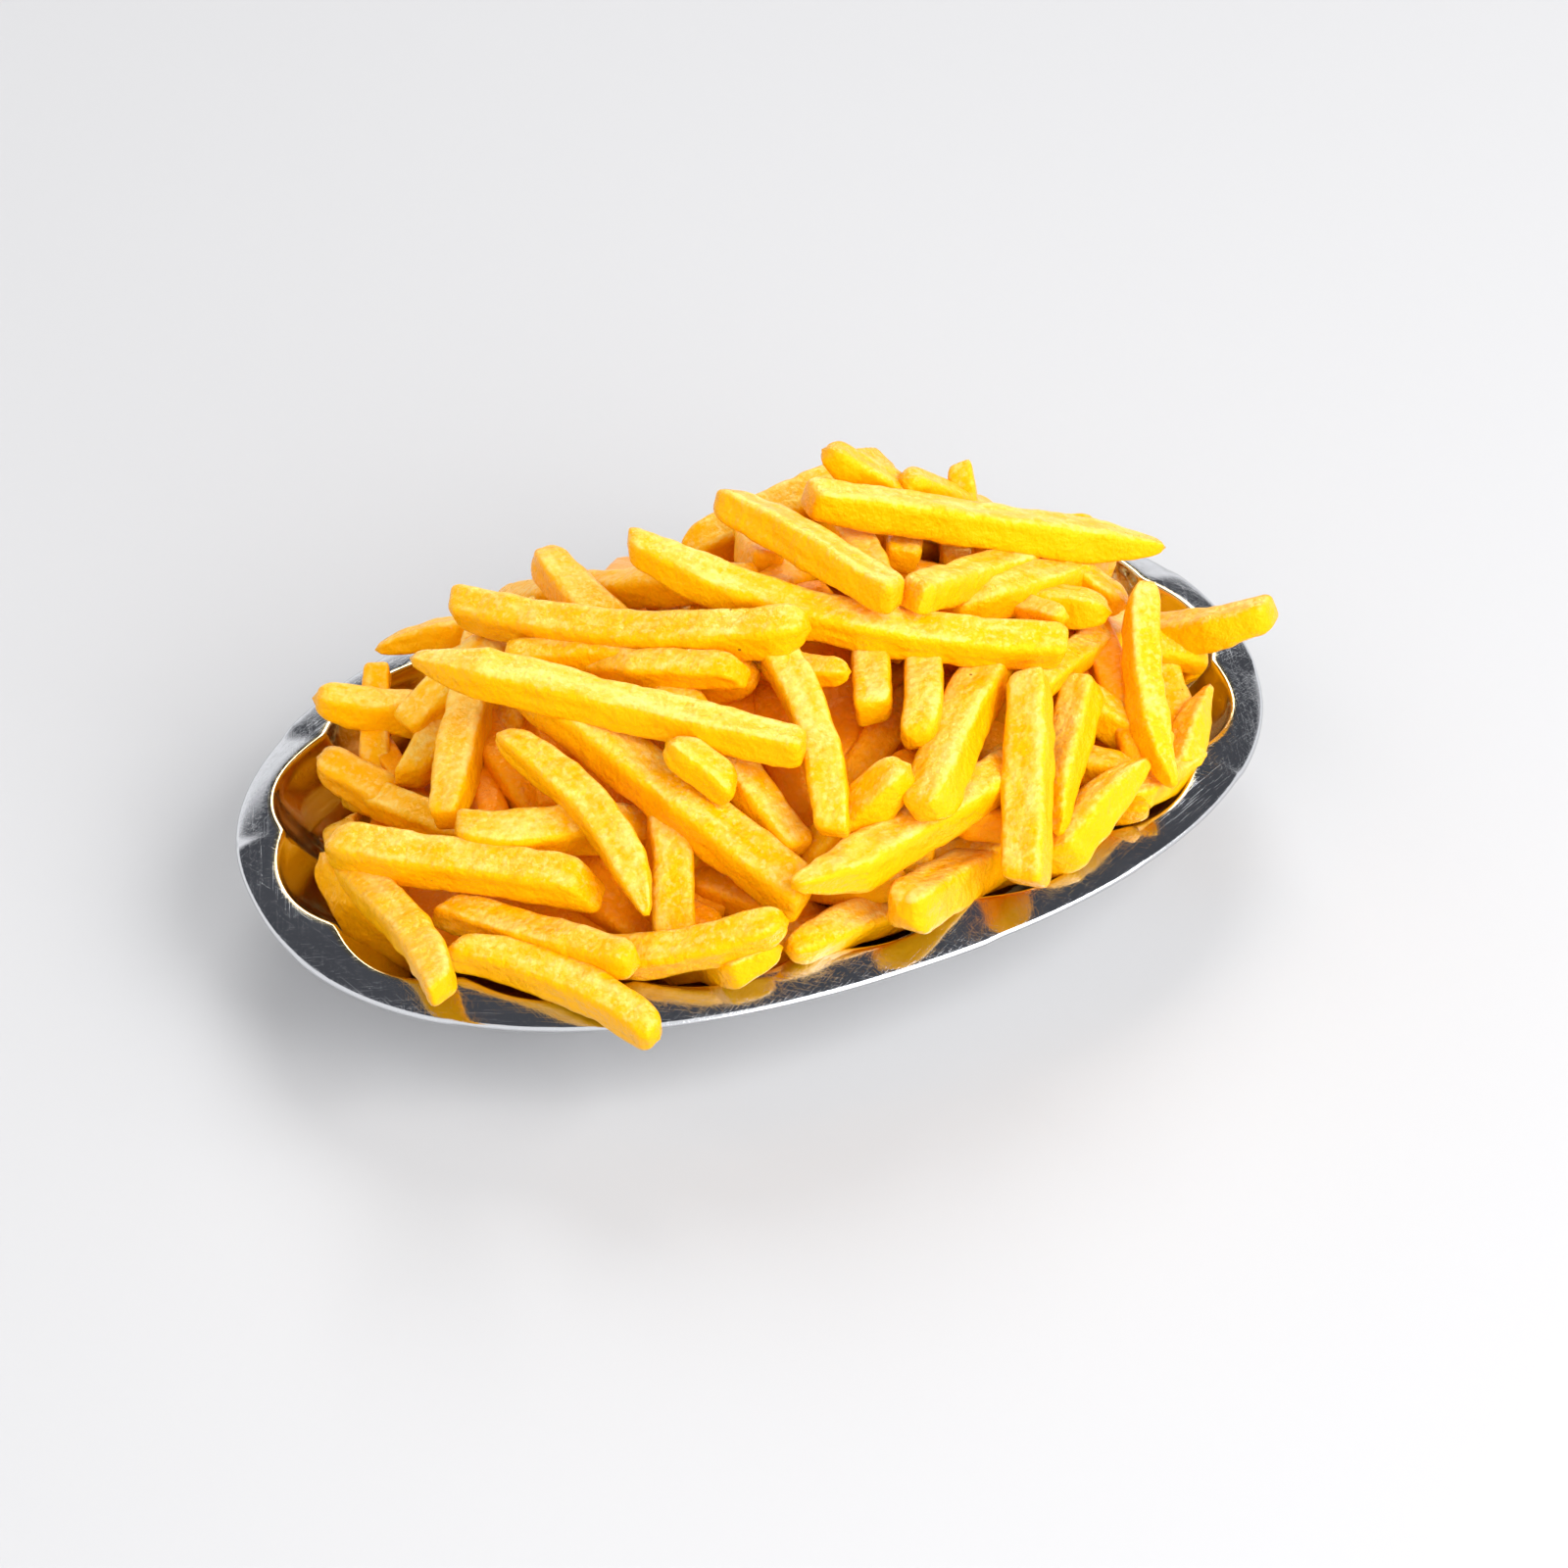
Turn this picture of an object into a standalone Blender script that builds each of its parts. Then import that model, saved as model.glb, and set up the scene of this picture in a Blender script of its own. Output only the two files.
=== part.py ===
"""French fries portion in a fluted oval steel dish: the dish and the heap of fries, each one solid.

Metres, +Z up. The origin is the middle of the dish's flat underside and +X runs along the dish.
"""
import math

import bmesh
import bpy
from mathutils import Vector

MM = 0.001

# dish
RIM_LENGTH = 220 * MM
RIM_WIDTH = 142 * MM
RIM_POWER = 2.24          # superellipse exponent of the outline
DISH_HEIGHT = 26 * MM
SHEET = 0.8 * MM
FLUTES = 16
STEPS_PER_FLUTE = 6
FLANGE_AT_LOBE = 6.5 * MM
FLUTE_DEPTH = 3.3 * MM    # how far a ridge stands in from a lobe, at the lip
FLUTE_DEPTH_FOOT = 1.2 * MM
FOOT_INSET = 27 * MM      # from the rim's edge to the flat of the foot
EDGE_DROP = 2.4 * MM      # the flange falls this much to its outer edge

# heap
GAP = 0.4 * MM            # between the heap and the steel
PEAK = 47 * MM            # above the rim
PEAK_X = 15 * MM
HEAP_LENGTH = 200 * MM
HEAP_WIDTH = 122 * MM
CUT_SIDE = 0.87           # a fry's side, as a share of its width seen over an edge
FRY_LAYER = 6 * MM        # the outer fries lie on a core this far under the heap's skin
CORE_LENGTH = 186 * MM
CORE_WIDTH = 112 * MM
CORE_X = 1 * MM
CORE_EDGE = -9 * MM       # height of the core's edge, from the rim
CORE_STEPS = 40

STEEL = ("steel", (0.62, 0.63, 0.65), 0.22, 1.0)
GOLDEN = ("fries", (0.90, 0.55, 0.06), 0.6, 0.0)

# Outer fries: start, end (mm, heights from the rim), width seen over an edge, sideways bow.
FRIES = [
    # left end
    ((-80, 45, 6), (-64, 30, 9), 9.5, 0),
    ((-77, 17, 0), (-65, 51, 5), 7.5, 0),
    ((-67, 27, 8), (-48, 29, 18), 11, 0),
    ((-54, 21, 19), (-71, -6, 10), 10, 0),
    ((-84, 33, 1), (-76, 4, 7), 9.5, 0),
    ((-76, 5, 6), (-64, -14, 9), 8, 0),
    ((-70, -10, 11), (-50, -27, 17), 10.5, 2),
    ((-93, 2, 6), (-53, -37, 11), 10.5, 0),
    ((-93, 8, -3), (-90, -13, -3), 11, 0),
    ((-89, -9, 3), (-88, -47, 6), 9.5, -2),
    ((-78, -22, 2), (-50, -51, 2), 9.5, 0),
    ((-80, -34, 2), (-54, -71, 1), 9.5, -5),
    # top, left to right
    ((-62, 55, 6), (-23, 46, 10), 9.5, 0),
    ((-32, 39, 33), (-27, 16, 30), 10, 0),
    ((-28, 32, 26), (-8, 18, 32), 9, 0),
    ((-51, 38, 26), (4, -14, 39), 10.5, 5),
    ((-64, 26, 26), (-6, -34, 27), 10.5, 0),
    ((-16, 27, 38), (58, -21, 22), 10, 8),
    ((3, 25, 45), (24, -14, 41), 9.5, 0),
    ((0, 36, 24), (30, 39, 28), 11, 0),
    ((28, 28, 48), (39, 19, 40), 8.5, 0),
    ((46, 27, 36), (56, 17, 31), 9, 0),
    ((58, 24, 38), (57, 20, 26), 8.5, 0),
    ((21, 21, 42), (95, 7, 15), 10.5, 0),
    ((71, 28, 16), (81, 22, 16), 7.5, 0),
    ((29, -10, 37), (54, -4, 32), 9, 0),
    ((44, -13, 33), (70, -2, 24), 10, 0),
    ((50, -9, 29), (73, -13, 20), 10.5, 0),
    # front, left to right
    ((-55, 2, 21), (-44, -46, 8), 10, -3),
    ((-45, 2, 26), (-15, -54, 8), 12, 0),
    ((-52, -47, 2), (-20, -55, 4), 9.5, 2),
    ((-29, -22, 28), (-22, -35, 23), 9, 0),
    ((-23, -22, 29), (-12, -46, 13), 9.5, 0),
    ((-3, -17, 35), (-6, -48, 16), 9.5, -3),
    ((13, -41, 21), (-9, -49, 14), 10, 0),
    ((29, -44, 13), (-16, -55, 9), 10.5, 0),
    ((16, -19, 34), (10, -32, 29), 9, 0),
    ((25, -24, 31), (17, -38, 24), 9.5, 0),
    ((38, -26, 24), (14, -47, 14), 11.5, 0),
    ((46, -30, 25), (27, -66, 6), 11, 0),
    ((59, -29, 19), (40, -53, 5), 9, 0),
    ((66, -40, 5), (40, -56, 0), 11, 0),
    ((4, -59, 1), (22, -56, 4), 11, 0),
    ((-21, -59, 1), (3, -57, 0), 10, 0),
    # right end
    ((74, 3, 19), (84, -2, 12), 9, 0),
    ((88, -2, 14), (73, -41, -3), 8.5, 2.5),
    ((86, -5, 5), (112, -15, 9), 9.5, 3),
    ((78, -8, 7), (92, -14, 4), 9, 0),
    ((84, -18, 3), (82, -32, -2), 11, 0),
    ((94, -18, -2), (80, -35, -7), 8, 0),
    ((71, -17, 12), (68, -36, 4), 9, 0),
    # back, left to right
    ((-84, 18, 2), (-60, 38, 14), 9.5, 0),
    ((-58, 34, 16), (-24, 50, 12), 9.5, 2),
    ((-40, 54, 4), (-8, 60, 3), 9.5, -2),
    ((-14, 50, 15), (12, 46, 24), 10, 0),
    ((0, 60, 4), (34, 56, 6), 10, 2),
    ((22, 48, 16), (50, 40, 22), 10, 0),
    ((44, 52, 6), (74, 40, 5), 9.5, 3),
    ((60, 34, 14), (82, 25, 7), 9.5, 0),
    ((-44, 20, 25), (-14, 40, 24), 9.5, 0),
    ((-20, 8, 38), (-4, 34, 31), 9.5, 0),
    ((-46, 40, 18), (-72, 18, 13), 9.5, 0),
    ((-30, 2, 35), (-46, 20, 25), 9, 0),
    ((-6, 50, 19), (-36, 45, 18), 9.5, 0),
    ((6, 8, 42), (14, 36, 32), 10, 0),
    ((8, 44, 24), (40, 47, 18), 9.5, 2),
    ((32, 6, 38), (46, 32, 27), 10, 0),
    ((50, 2, 33), (62, 26, 21), 9.5, 0),
    ((30, 30, 33), (68, 24, 22), 9.5, 0),
    ((56, 36, 17), (28, 56, 10), 9.5, 0),
]


def rim_point(angle):
    """Rim outline at an angle parameter, with the outward normal."""
    a, b = RIM_LENGTH / 2, RIM_WIDTH / 2
    c, s = math.cos(angle), math.sin(angle)
    q = 2 / RIM_POWER
    x = math.copysign(a * abs(c) ** q, c)
    y = math.copysign(b * abs(s) ** q, s)
    gx = math.copysign((abs(x) / a) ** (RIM_POWER - 1) / a, x)
    gy = math.copysign((abs(y) / b) ** (RIM_POWER - 1) / b, y)
    return Vector((x, y, 0)), Vector((gx, gy, 0)).normalized()


def rim_stations():
    """Points evenly spaced along the rim, each with its normal and its place in the flutes."""
    fine = 7200
    points = [rim_point(2 * math.pi * i / fine) for i in range(fine + 1)]
    lengths = [0.0]
    for (p, _), (q, _) in zip(points, points[1:]):
        lengths.append(lengths[-1] + (q - p).length)
    count = FLUTES * STEPS_PER_FLUTE
    stations, i = [], 0
    for k in range(count):
        while lengths[i + 1] <= lengths[-1] * k / count:
            i += 1
        stations.append((*points[i], k / STEPS_PER_FLUTE))
    return stations


def ridge(flute):
    """0 in the middle of a lobe, 1 on the sharp ridge between two lobes."""
    return 1 - abs(math.cos(math.pi * flute))


def dish_profile(flute, grow=0.0):
    """(inset, height) pairs around one section, from the middle of the inside, over the rim and back."""
    lip = FLANGE_AT_LOBE + FLUTE_DEPTH * ridge(flute)
    foot = FOOT_INSET + FLUTE_DEPTH_FOOT * ridge(flute)
    h, t, g = DISH_HEIGHT, SHEET, grow
    inside = [
        (foot + 2.5 * MM + g, t + g),
        (foot - 0.5 * MM + g, t + 1.6 * MM + g),
        ((foot + lip) / 2 + 1.0 * MM + g, h * 0.48),
        (lip + 1.4 * MM + g, h - 2.6 * MM),
        (lip + 0.5 * MM + g * 0.7, h - 0.7 * MM + g * 0.7),
        (lip - 1.2 * MM, h + g),
        (0.4 * MM, h - EDGE_DROP + t * 0.4 + g),
        (-g, h - EDGE_DROP - t * 0.2 + g * 0.3),
    ]
    outside = [
        (-g, h - EDGE_DROP - t - g),
        (lip - 1.6 * MM, h - t - g),
        (lip - 0.4 * MM - g, h - 1.5 * MM - g),
        (lip + 0.5 * MM - g, h - 3.0 * MM),
        ((foot + lip) / 2 + 0.1 * MM - g, h * 0.48),
        (foot - 1.6 * MM - g, 1.6 * MM),
        (foot + 1.4 * MM, -g),
    ]
    return inside, outside


def add_mesh(name, bm, material):
    mesh = bpy.data.meshes.new(name)
    bmesh.ops.recalc_face_normals(bm, faces=bm.faces)
    bm.to_mesh(mesh)
    bm.free()
    obj = bpy.data.objects.new(name, mesh)
    bpy.context.scene.collection.objects.link(obj)
    if material:
        mesh.materials.append(material)
    return obj


def bridge(bm, ring_a, ring_b):
    n = len(ring_a)
    for i in range(n):
        j = (i + 1) % n
        bm.faces.new((ring_a[i], ring_a[j], ring_b[j], ring_b[i]))


def cap(bm, ring, centre):
    hub = bm.verts.new(centre)
    n = len(ring)
    for i in range(n):
        bm.faces.new((ring[i], ring[(i + 1) % n], hub))


def make_dish(name, material=None, grow=0.0):
    """The pressed sheet: rings from the inside of the foot, out over the flange and back underneath."""
    bm = bmesh.new()
    stations = rim_stations()
    sections = [sum(dish_profile(flute, grow), []) for _, _, flute in stations]
    rings = []
    for level in range(len(sections[0])):
        ring = []
        for (point, normal, _), section in zip(stations, sections):
            inset, height = section[level]
            ring.append(bm.verts.new(point - normal * inset + Vector((0, 0, height))))
        rings.append(ring)
    for ring_a, ring_b in zip(rings, rings[1:]):
        bridge(bm, ring_a, ring_b)
    cap(bm, rings[0], (0, 0, SHEET + grow))
    cap(bm, rings[-1], (0, 0, -grow))
    dish = add_mesh(name, bm, material)
    dish.data.shade_smooth()
    dish.data.set_sharp_from_angle(angle=math.radians(35))
    return dish


def heap_height(x, y):
    """Height of the heap's skin above the rim."""
    rho = (abs(2 * x / HEAP_LENGTH) ** RIM_POWER + abs(2 * y / HEAP_WIDTH) ** RIM_POWER) ** (1 / RIM_POWER)
    dome = max(0.0, 1 - rho * rho) ** 0.8
    lengthwise = 1 - ((x - PEAK_X) / (150 * MM)) ** 2
    return (PEAK + 3 * MM) * lengthwise * dome - 3 * MM


def oval(scale_x, scale_y, angle):
    q = 2 / RIM_POWER
    c, s = math.cos(angle), math.sin(angle)
    x = CORE_X + math.copysign(scale_x / 2 * abs(c) ** q, c)
    return x, math.copysign(scale_y / 2 * abs(s) ** q, s)


def make_core():
    """The packed inside of the heap: domed on top, following the dish below."""
    bm = bmesh.new()
    angles = [2 * math.pi * (i + 0.5) / CORE_STEPS for i in range(CORE_STEPS)]
    floor = SHEET + GAP
    rings = []
    for inset, height in ((15 * MM, floor), (12.5 * MM, floor + 2 * MM)):
        rings.append([
            bm.verts.new((*oval(CORE_LENGTH - 2 * inset, CORE_WIDTH - 2 * inset, a), height))
            for a in angles
        ])
    for share in (1.0, 0.93, 0.84, 0.68, 0.46, 0.22):
        ring = []
        for a in angles:
            x, y = oval(CORE_LENGTH * share, CORE_WIDTH * share, a)
            z = max(CORE_EDGE, heap_height(x, y) - FRY_LAYER) if share < 0.9 else CORE_EDGE
            ring.append(bm.verts.new((x, y, DISH_HEIGHT + z)))
        rings.append(ring)
    for ring_a, ring_b in zip(rings, rings[1:]):
        bridge(bm, ring_a, ring_b)
    cap(bm, rings[0], (CORE_X, 0, floor))
    cap(bm, rings[-1], (CORE_X, 0, DISH_HEIGHT + heap_height(CORE_X, 0) - FRY_LAYER))
    return add_mesh("core", bm, None)


def add_fry(bm, start, end, width, bow):
    """One square-cut fry with slightly narrowed ends, bowed sideways by the given amount."""
    a = Vector(start) * MM + Vector((0, 0, DISH_HEIGHT))
    b = Vector(end) * MM + Vector((0, 0, DISH_HEIGHT))
    along = (b - a).normalized()
    side = along.cross(Vector((0, 0, 1))).normalized()
    up = side.cross(along)
    half = width * CUT_SIDE / 2 * MM
    nose = 1.6 * MM / (b - a).length
    stops = [0.0, nose, 0.33, 0.67, 1 - nose, 1.0] if bow else [0.0, nose, 1 - nose, 1.0]
    rings = []
    for t in stops:
        middle = a.lerp(b, t) + side * (bow * MM * 4 * t * (1 - t))
        r = half * (0.68 if t in (0.0, 1.0) else 1.0)
        corners = ((r, r), (-r, r), (-r, -r), (r, -r))
        rings.append([bm.verts.new(middle + side * u + up * v) for u, v in corners])
    for ring_a, ring_b in zip(rings, rings[1:]):
        bridge(bm, ring_a, ring_b)
    bm.faces.new(rings[0][::-1])
    bm.faces.new(rings[-1])


def make_outer_fries():
    bm = bmesh.new()
    for start, end, width, bow in FRIES:
        add_fry(bm, start, end, width, bow)
    return add_mesh("outer_fries", bm, None)


def boolean(obj, operation, other, use_self=False):
    mod = obj.modifiers.new(operation.title(), "BOOLEAN")
    mod.operation = operation
    mod.solver = "EXACT"
    mod.object = other
    mod.use_self = use_self
    other.hide_render = True
    other.display_type = "WIRE"


def bodies(bm):
    """The mesh's connected bodies, as lists of vertices, largest first."""
    found, seen = [], set()
    for vert in bm.verts:
        if vert in seen:
            continue
        body, todo = [], [vert]
        seen.add(vert)
        while todo:
            v = todo.pop()
            body.append(v)
            for edge in v.link_edges:
                w = edge.other_vert(v)
                if w not in seen:
                    seen.add(w)
                    todo.append(w)
        found.append(body)
    return sorted(found, key=len, reverse=True)


def make_heap(name, material):
    """Core and outer fries in one solid, cut clear of the steel, without the crumbs the cut leaves."""
    heap = make_core()
    boolean(heap, "UNION", make_outer_fries(), use_self=True)
    boolean(heap, "DIFFERENCE", make_dish("dish_clearance", grow=GAP))
    bpy.context.view_layer.update()
    evaluated = heap.evaluated_get(bpy.context.evaluated_depsgraph_get())
    bm = bmesh.new()
    bm.from_mesh(evaluated.to_mesh())
    evaluated.to_mesh_clear()
    for other in [heap] + [m.object for m in heap.modifiers]:
        bpy.data.objects.remove(other)
    bmesh.ops.remove_doubles(bm, verts=bm.verts, dist=0.02 * MM)
    bmesh.ops.dissolve_degenerate(bm, edges=bm.edges, dist=0.01 * MM)
    for crumb in bodies(bm)[1:]:
        bmesh.ops.delete(bm, geom=crumb, context="VERTS")
    bmesh.ops.triangulate(bm, faces=bm.faces)
    return add_mesh(name, bm, material)


def make_material(name, colour, roughness, metallic):
    material = bpy.data.materials.new(name)
    material.use_nodes = True
    shader = material.node_tree.nodes["Principled BSDF"]
    shader.inputs["Base Color"].default_value = (*colour, 1)
    shader.inputs["Roughness"].default_value = roughness
    shader.inputs["Metallic"].default_value = metallic
    return material


def main():
    for obj in list(bpy.data.objects):
        bpy.data.objects.remove(obj)
    make_heap("fries", make_material(*GOLDEN))
    make_dish("dish", make_material(*STEEL))


main()
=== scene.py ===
import itertools
import math

import bpy
import numpy as np
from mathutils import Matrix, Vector
from mathutils.bvhtree import BVHTree


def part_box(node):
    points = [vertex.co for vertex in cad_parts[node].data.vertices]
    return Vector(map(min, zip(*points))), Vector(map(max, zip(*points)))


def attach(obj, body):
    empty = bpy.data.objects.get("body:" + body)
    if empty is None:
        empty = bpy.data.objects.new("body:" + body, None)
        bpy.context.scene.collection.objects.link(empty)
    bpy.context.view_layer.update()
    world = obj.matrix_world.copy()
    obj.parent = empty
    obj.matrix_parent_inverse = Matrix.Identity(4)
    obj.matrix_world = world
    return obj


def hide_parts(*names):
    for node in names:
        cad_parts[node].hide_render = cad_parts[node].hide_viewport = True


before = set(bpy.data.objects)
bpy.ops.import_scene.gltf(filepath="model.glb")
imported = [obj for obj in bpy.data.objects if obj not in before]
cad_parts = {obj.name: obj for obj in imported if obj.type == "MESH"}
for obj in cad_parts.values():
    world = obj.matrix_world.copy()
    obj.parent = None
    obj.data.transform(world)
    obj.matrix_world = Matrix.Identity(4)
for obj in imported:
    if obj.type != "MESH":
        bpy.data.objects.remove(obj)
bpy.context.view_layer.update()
mm = 0.001
dishLow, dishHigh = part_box("dish")
rimHeight = dishHigh.z                # the heights of the fries are measured from the rim
bpy.context.scene.view_settings.view_transform = "Standard"
print("frame loaded, rim at", round(rimHeight / mm, 1), "mm")


# the camera comes first: the fries of the near slope are laid as it sees them
view = {
    "turn": -24.77,           # degrees
    "height": 40.71,
    "away": 809.5,            # mm from the middle of the rim
    "right": 5.06,
    "up": -7.92,
    "lens": 90,
}


def viewAxes():
    turn, height = math.radians(view["turn"]), math.radians(view["height"])
    right = Vector((math.cos(turn), math.sin(turn), 0))
    back = Vector((math.sin(turn) * math.cos(height), -math.cos(turn) * math.cos(height), math.sin(height)))
    up = back.cross(right)
    return right, up, back, back * view["away"] + right * view["right"] + up * view["up"]


class Value:
    # a node's socket that can stand in a sum
    def __init__(self, finish, socket):
        self.finish, self.socket = finish, socket

    def maths(self, operation, *terms):
        return self.finish.node("ShaderNodeMath", {"operation": operation}, dict(enumerate(terms)))

    def __add__(self, other):
        return self.maths("ADD", self, other)

    def __radd__(self, other):
        return self.maths("ADD", other, self)

    def __sub__(self, other):
        return self.maths("SUBTRACT", self, other)

    def __rsub__(self, other):
        return self.maths("SUBTRACT", other, self)

    def __mul__(self, other):
        return self.maths("MULTIPLY", self, other)

    def __rmul__(self, other):
        return self.maths("MULTIPLY", other, self)

    def __truediv__(self, other):
        return self.maths("DIVIDE", self, other)

    def __pow__(self, other):
        return self.maths("POWER", self, other)

    def step(self, low, high):
        # 0 below low, 1 above high, soft between
        settings = {"interpolation_type": "SMOOTHSTEP"}
        return self.finish.node("ShaderNodeMapRange", settings, {"Value": self, 1: low, 2: high})


class Finish:
    # a node tree being written: one method makes any node
    def __init__(self, tree):
        self.tree = tree
        tree.nodes.clear()

    def node(self, kind, settings=None, values=None, out=0):
        made = self.tree.nodes.new(kind)
        for name, value in (settings or {}).items():
            if name == "stops":
                ramp = made.color_ramp.elements
                while len(ramp) < len(value):
                    ramp.new(0.5)
                for stop, (place, colour) in zip(ramp, value):
                    stop.position, stop.color = place, (*colour, 1)
            else:
                setattr(made, name, value)
        for name, value in (values or {}).items():
            socket = made.inputs[name]
            if isinstance(value, Value):
                self.tree.links.new(value.socket, socket)
            elif socket.type == "RGBA":
                socket.default_value = (*value, 1)
            else:
                socket.default_value = value
        return Value(self, made.outputs[out]) if made.outputs else made

    def mix(self, share, first, second, blend="MIX"):
        settings = {"data_type": "RGBA", "blend_type": blend}
        return self.node("ShaderNodeMix", settings, {0: share, 6: first, 7: second}, out=2)

    def noise(self, place, size, detail=3.0, rough=0.55, stretch=(1, 1, 1)):
        # grey noise whose lumps are about size metres across
        scaled = self.node("ShaderNodeVectorMath", {"operation": "MULTIPLY"},
                           {0: place, 1: [s / size for s in stretch]})
        return self.node("ShaderNodeTexNoise", None,
                         {"Vector": scaled, "Scale": 1.0, "Detail": detail, "Roughness": rough})


def newMaterial(name):
    material = bpy.data.materials.new(name)
    material.use_nodes = True
    return material, Finish(material.node_tree)


def buildMesh(name, points, faces, material, notes=None):
    mesh = bpy.data.meshes.new(name)
    mesh.from_pydata(points.tolist(), [], faces)
    mesh.validate()
    for note, values in (notes or {}).items():
        kind = "FLOAT" if values.ndim == 1 else "FLOAT_VECTOR"
        layer = mesh.attributes.new(note, kind, "POINT")
        layer.data.foreach_set("value" if kind == "FLOAT" else "vector", values.astype(np.float32).ravel())
    mesh.shade_smooth()
    mesh.materials.append(material)
    piece = bpy.data.objects.new(name, mesh)
    bpy.context.scene.collection.objects.link(piece)
    return piece


def ringFaces(rings, around, first=0):
    # quads between rings of points that lie one after another
    faces = []
    for ring in range(rings - 1):
        low, high = first + ring * around, first + (ring + 1) * around
        for k in range(around):
            nextK = (k + 1) % around
            faces.append((low + k, low + nextK, high + nextK, high + k))
    return faces


def fanFaces(ring, hub, turned):
    faces = [(ring[k], ring[(k + 1) % len(ring)], hub) for k in range(len(ring))]
    return [face[::-1] for face in faces] if turned else faces


noiseTable = np.random.default_rng(7).uniform(-1, 1, (24, 24, 24))


def lumps(points, size):
    # smooth noise from -1 to 1 with lumps about size across
    scaled = points / size
    cell = np.floor(scaled).astype(int)
    part = scaled - cell
    part = part * part * (3 - 2 * part)
    total = np.zeros(len(points))
    for corner in itertools.product((0, 1), repeat=3):
        weight = np.prod(np.where(corner, part, 1 - part), axis=1)
        x, y, z = ((cell + corner) % 24).T
        total += weight * noiseTable[x, y, z]
    return total


dish = {
    "power": 2.24,            # superellipse exponent of the outline
    "sheet": 0.8,             # mm, as are all sizes below
    "flutes": 16,
    "stepsPerFlute": 24,
    "flangeAtLobe": 6.5,
    "fluteDepth": 3.3,
    "fluteDepthFoot": 1.2,
    "footInset": 27,
    "edgeDrop": 2.4,
    "ridgeRound": 0.05,
    "flangeLean": 0.7,       # the flange lies a little differently in each flute
    "flangeSlope": 0.30,      # the lip comes up to the ridges at the flange's slope
    "roundings": 2,
}


def outlinePoints(angle, length, width, power):
    c, s = np.cos(angle), np.sin(angle)
    x = np.sign(c) * length / 2 * np.abs(c) ** (2 / power)
    y = np.sign(s) * width / 2 * np.abs(s) ** (2 / power)
    return x, y


def makeDish(material):
    length, width = (dishHigh.x - dishLow.x) / mm, (dishHigh.y - dishLow.y) / mm
    power, height, t = dish["power"], rimHeight / mm, dish["sheet"]
    fine = np.linspace(0, 2 * math.pi, 7201)
    x, y = outlinePoints(fine, length, width, power)
    run = np.concatenate([[0], np.cumsum(np.hypot(np.diff(x), np.diff(y)))])
    count = dish["flutes"] * dish["stepsPerFlute"]
    angle = np.interp(np.arange(count) / count * run[-1], run, fine)
    x, y = outlinePoints(angle, length, width, power)
    nx = np.sign(x) * (np.abs(x) * 2 / length) ** (power - 1) / length
    ny = np.sign(y) * (np.abs(y) * 2 / width) ** (power - 1) / width
    size = np.hypot(nx, ny)
    nx, ny = nx / size, ny / size

    flute = np.arange(count) / dish["stepsPerFlute"]
    e = dish["ridgeRound"]
    soft = np.sqrt(np.cos(math.pi * flute) ** 2 + e * e) - e
    ridge = 1 - soft / (math.sqrt(1 + e * e) - e)
    lip = dish["flangeAtLobe"] + dish["fluteDepth"] * ridge
    foot = dish["footInset"] + dish["fluteDepthFoot"] * ridge
    # each flute's flange leans by its own amount, changing over at the ridges
    leans = np.random.default_rng(4).uniform(-1, 1, dish["flutes"])
    near = np.round(flute).astype(int)
    off = flute - near
    nextLean = leans[(near + np.sign(off).astype(int)) % dish["flutes"]]
    share = np.clip((np.abs(off) - 0.45) / 0.10, 0, 0.5)
    lean = dish["flangeLean"] * (leans[near % dish["flutes"]] * (1 - share) + nextLean * share)
    rise = dish["fluteDepth"] * ridge * dish["flangeSlope"]

    drop, ones = dish["edgeDrop"], np.ones(count)
    section = [
        (foot + 2.5, t * ones),
        (foot - 0.5, t + 1.6 * ones),
        ((foot + lip) / 2 + 1.0, height * 0.48 * ones),
        (lip + 1.3, height - 2.6 + rise * 0.6),
        (lip + 0.25, height - 0.45 + rise),
        (lip - 0.25, height + rise),
        (0.4 * ones, height - drop + t * 0.4 + lean),
        (0 * ones, height - drop - t * 0.2 + lean),
        (0 * ones, height - drop - t + lean),
        (lip - 1.0, height - t + rise),
        (lip - 0.5, height - 1.4 + rise),
        (lip + 0.4, height - 3.0 + rise * 0.6),
        ((foot + lip) / 2 + 0.1, height * 0.48 * ones),
        (foot - 1.6, 1.6 * ones),
        (foot + 1.4, 0 * ones),
    ]
    section = np.array(section)               # level, inset or height, station
    for _ in range(dish["roundings"]):         # corner cutting turns the corners into radii
        cut = [section[0]]
        for low, high in zip(section, section[1:]):
            cut += [low * 0.78 + high * 0.22, low * 0.22 + high * 0.78]
        section = np.array(cut + [section[-1]])
    levels = len(section)
    inside = np.arange(levels) < section[:, 1].mean(axis=1).argmax() + 2
    points = np.stack([x - nx * section[:, 0], y - ny * section[:, 0], section[:, 1]], axis=-1)
    points = points.reshape(-1, 3)
    hubs = np.array([[0, 0, t], [0, 0, 0]])
    faces = ringFaces(levels, count)
    faces = [face[::-1] for face in faces]
    faces += fanFaces(list(range(count)), levels * count, False)
    faces += fanFaces(list(range((levels - 1) * count, levels * count)), levels * count + 1, True)
    # the inner side is marked for the painted reflection of the fries
    notes = {"inside": np.concatenate([np.repeat(inside, count), [1, 0]]).astype(float)}
    piece = buildMesh("steelDish", np.vstack([points, hubs]) * mm, faces, material, notes)
    piece.data.flip_normals()
    return piece


steel = {
    "colour": (0.60, 0.61, 0.63),
    "paintedReflectionColour": (0.74, 0.57, 0.22),    # painted amber reflection of the fries on the inner wall
    "oil": 0.75,
    "roughness": 0.07,
    "scratchDepth": 0.000007,
    "smears": 0.07,
}


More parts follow.
